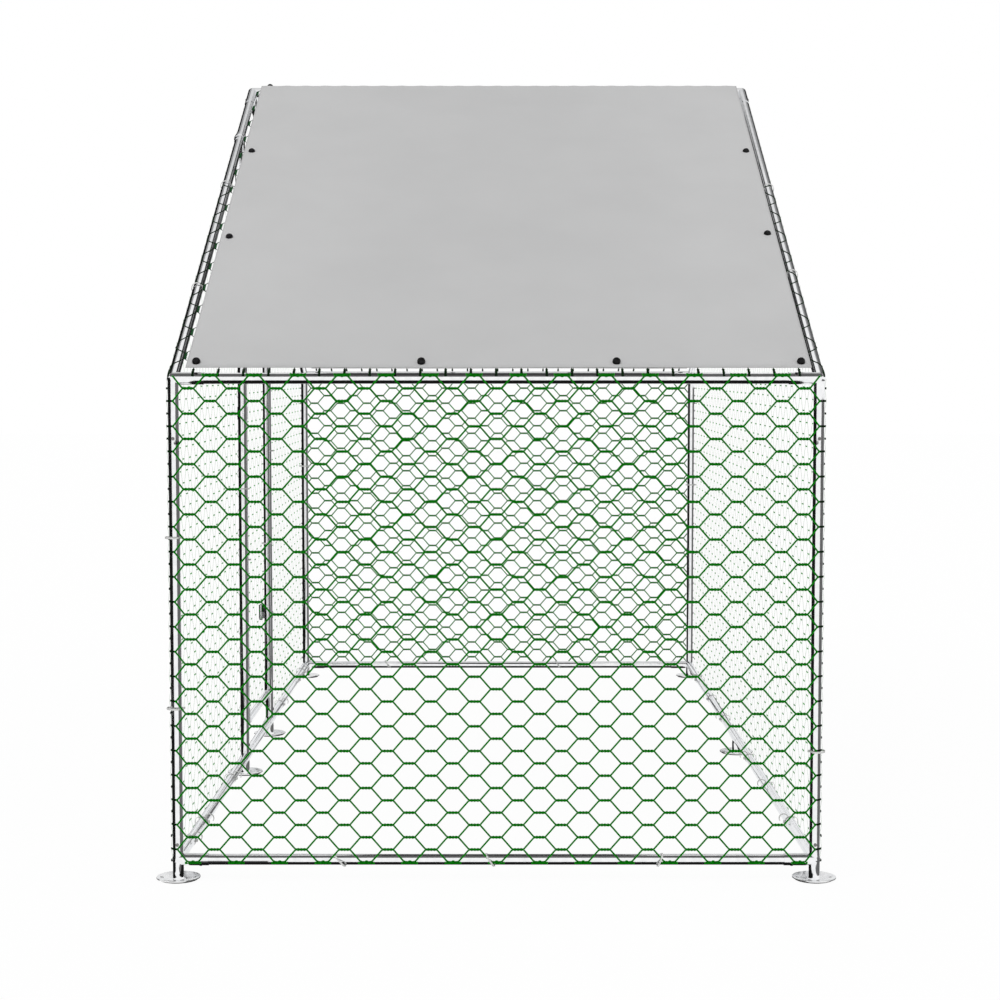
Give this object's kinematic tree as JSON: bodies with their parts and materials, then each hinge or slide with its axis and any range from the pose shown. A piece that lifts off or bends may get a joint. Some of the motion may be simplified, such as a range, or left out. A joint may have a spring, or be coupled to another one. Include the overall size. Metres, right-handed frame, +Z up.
{
  "type": "walk-in poultry run",
  "caption": "Gable-roofed walk-in poultry run of galvanised tube and hexagonal wire netting, with a folded roof cover and a hinged mesh door with a slide latch.",
  "frame": {"origin": "on the ground, under the middle of the frame", "axes": "X across the width, along the ridge; Y along the length; Z up; the door is at -X"},
  "size_m": [1.56, 3.0998, 2.0241],
  "materials": {
    "galvanised": "bright zinc coat",
    "zinc": "dull zinc",
    "netting": "gloss coated wire",
    "cover": "matte coated cloth",
    "black_plastic": "gloss",
    "white_plastic": "satin"
  },
  "bodies": {
    "frame": {"connector_screws": "zinc", "cover_balls": "black_plastic", "door_header_rail": "galvanised", "door_post_collars": "galvanised", "door_sill_rail": "galvanised", "doorway_legs": "galvanised", "foot_plates": "galvanised", "frame_cable_ties": "white_plastic", "front_bottom_rail": "galvanised", "front_door_post": "galvanised", "front_eave_rail": "galvanised", "front_left_eave_corner": "galvanised", "front_left_leg": "galvanised", "front_left_post": "galvanised", "front_left_rafter": "galvanised", "front_net": "netting", "front_right_eave_corner": "galvanised", "front_right_leg": "galvanised", "front_right_post": "galvanised", "front_right_rafter": "galvanised", "front_roof_net": "netting", "hinge_pins": "zinc", "hinge_post_straps": "galvanised", "latch_keeper": "galvanised", "left_front_bottom_rail": "galvanised", "left_front_net": "netting", "left_gable_net": "netting", "left_rear_bottom_rail": "galvanised", "left_rear_net": "netting", "rear_bottom_rail": "galvanised", "rear_door_post": "galvanised", "rear_eave_rail": "galvanised", "rear_left_eave_corner": "galvanised", "rear_left_leg": "galvanised", "rear_left_post": "galvanised", "rear_left_rafter": "galvanised", "rear_net": "netting", "rear_right_eave_corner": "galvanised", "rear_right_leg": "galvanised", "rear_right_post": "galvanised", "rear_right_rafter": "galvanised", "rear_roof_net": "netting", "ridge_connectors": "galvanised", "ridge_tube": "galvanised", "right_front_bottom_rail": "galvanised", "right_middle_leg": "galvanised", "right_net": "netting", "right_rear_bottom_rail": "galvanised", "roof_cover": "cover"},
    "door": {"door_hinge_stile": "galvanised", "door_latch_stile": "galvanised", "door_bottom_rail": "galvanised", "door_top_rail": "galvanised", "door_elbows": "galvanised", "hinge_door_straps": "galvanised", "latch_guide": "galvanised", "door_net": "netting", "door_cable_ties": "white_plastic"},
    "bolt": {"latch_bolt": "zinc"}
  },
  "joints": [
    {"name": "door_hinge", "type": "hinge", "parent": "frame", "child": "door", "pos_m": [-0.753, 0.286, 0.4], "axis": [0, 0, -1], "range_deg": [0, 170]},
    {"name": "bolt_slide", "type": "slide", "parent": "door", "child": "bolt", "axis": [0, -1, 0], "range_m": [0, 0.04]}
  ]
}
